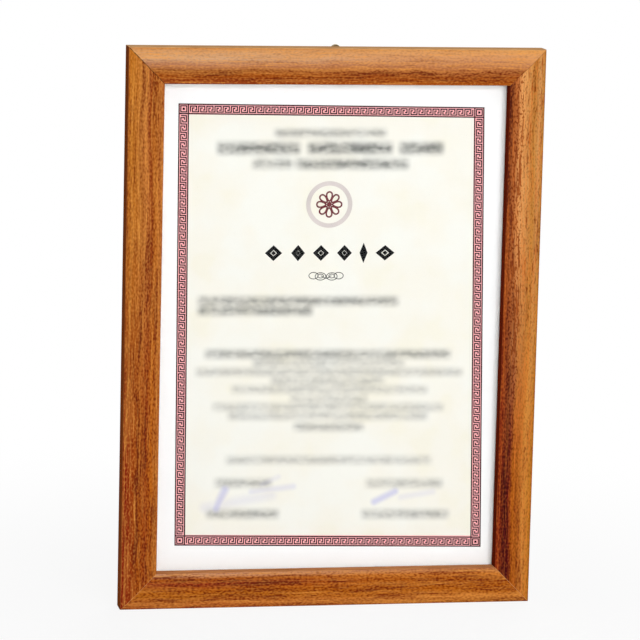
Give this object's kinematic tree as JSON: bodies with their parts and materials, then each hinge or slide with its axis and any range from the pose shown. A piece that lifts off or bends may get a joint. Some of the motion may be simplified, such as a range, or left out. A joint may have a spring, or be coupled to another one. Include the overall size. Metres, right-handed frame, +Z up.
{
  "type": "certificate frame",
  "caption": "Mitred wooden wall frame with a domed moulding, glazed, holding a printed A4 sheet behind glass, with a turn-button back and a hanging ring.",
  "frame": {"origin": "under the middle of the hanging ring's crown, in the plane of its wire, where a wall hook carries the frame", "axes": "+X to the right as the viewer sees the front, +Y from the front to the wall, +Z up"},
  "size_m": [0.2474, 0.0175, 0.3335],
  "materials": {
    "rail_wood": "stained and satin-lacquered hardwood, long dark pores along each rail",
    "glass": "clear float glass",
    "sheet_paper": "heavy printed paper",
    "card": "plain grey-white filler card",
    "hardboard": "brown hardboard, smooth side out",
    "nail_steel": "bright steel strip",
    "button_steel": "zinc-plated pressed steel",
    "screw_steel": "yellow zinc-plated steel",
    "hanger_steel": "brassed steel",
    "felt": "dark felt"
  },
  "bodies": {
    "frame": {"top_rail": "rail_wood", "right_rail": "rail_wood", "bottom_rail": "rail_wood", "left_rail": "rail_wood", "glass_pane": "glass", "certificate_sheet": "sheet_paper", "backing_card": "card", "backing_board": "hardboard", "v_nails": "nail_steel", "screws": "screw_steel", "hanger_strap": "hanger_steel", "left_felt_pad": "felt", "right_felt_pad": "felt"},
    "turn_button_top_left_body": {"turn_button_top_left": "button_steel"},
    "turn_button_top_right_body": {"turn_button_top_right": "button_steel"},
    "turn_button_right_body": {"turn_button_right": "button_steel"},
    "turn_button_bottom_right_body": {"turn_button_bottom_right": "button_steel"},
    "turn_button_bottom_left_body": {"turn_button_bottom_left": "button_steel"},
    "turn_button_left_body": {"turn_button_left": "button_steel"},
    "hanger_ring_body": {"hanger_ring": "hanger_steel"}
  },
  "joints": [
    {"name": "turn_button_top_left_swing", "type": "hinge", "parent": "frame", "child": "turn_button_top_left_body", "pos_m": [-0.058, -0.00138, -0.0084], "axis": [0, 1, 0], "range_deg": [-90, 90]},
    {"name": "turn_button_top_right_swing", "type": "hinge", "parent": "frame", "child": "turn_button_top_right_body", "pos_m": [0.058, -0.00138, -0.0084], "axis": [0, 1, 0], "range_deg": [-90, 90]},
    {"name": "turn_button_right_swing", "type": "hinge", "parent": "frame", "child": "turn_button_right_body", "pos_m": [0.115, -0.00138, -0.1659], "axis": [0, 1, 0], "range_deg": [-90, 90]},
    {"name": "turn_button_bottom_right_swing", "type": "hinge", "parent": "frame", "child": "turn_button_bottom_right_body", "pos_m": [0.058, -0.00138, -0.3234], "axis": [0, 1, 0], "range_deg": [-90, 90]},
    {"name": "turn_button_bottom_left_swing", "type": "hinge", "parent": "frame", "child": "turn_button_bottom_left_body", "pos_m": [-0.058, -0.00138, -0.3234], "axis": [0, 1, 0], "range_deg": [-90, 90]},
    {"name": "turn_button_left_swing", "type": "hinge", "parent": "frame", "child": "turn_button_left_body", "pos_m": [-0.115, -0.00138, -0.1659], "axis": [0, 1, 0], "range_deg": [-90, 90]},
    {"name": "hanger_ring_swing", "type": "hinge", "parent": "frame", "child": "hanger_ring_body", "pos_m": [0, 0, -0.0093], "axis": [-1, 0, 0], "range_deg": [0, 165]}
  ]
}
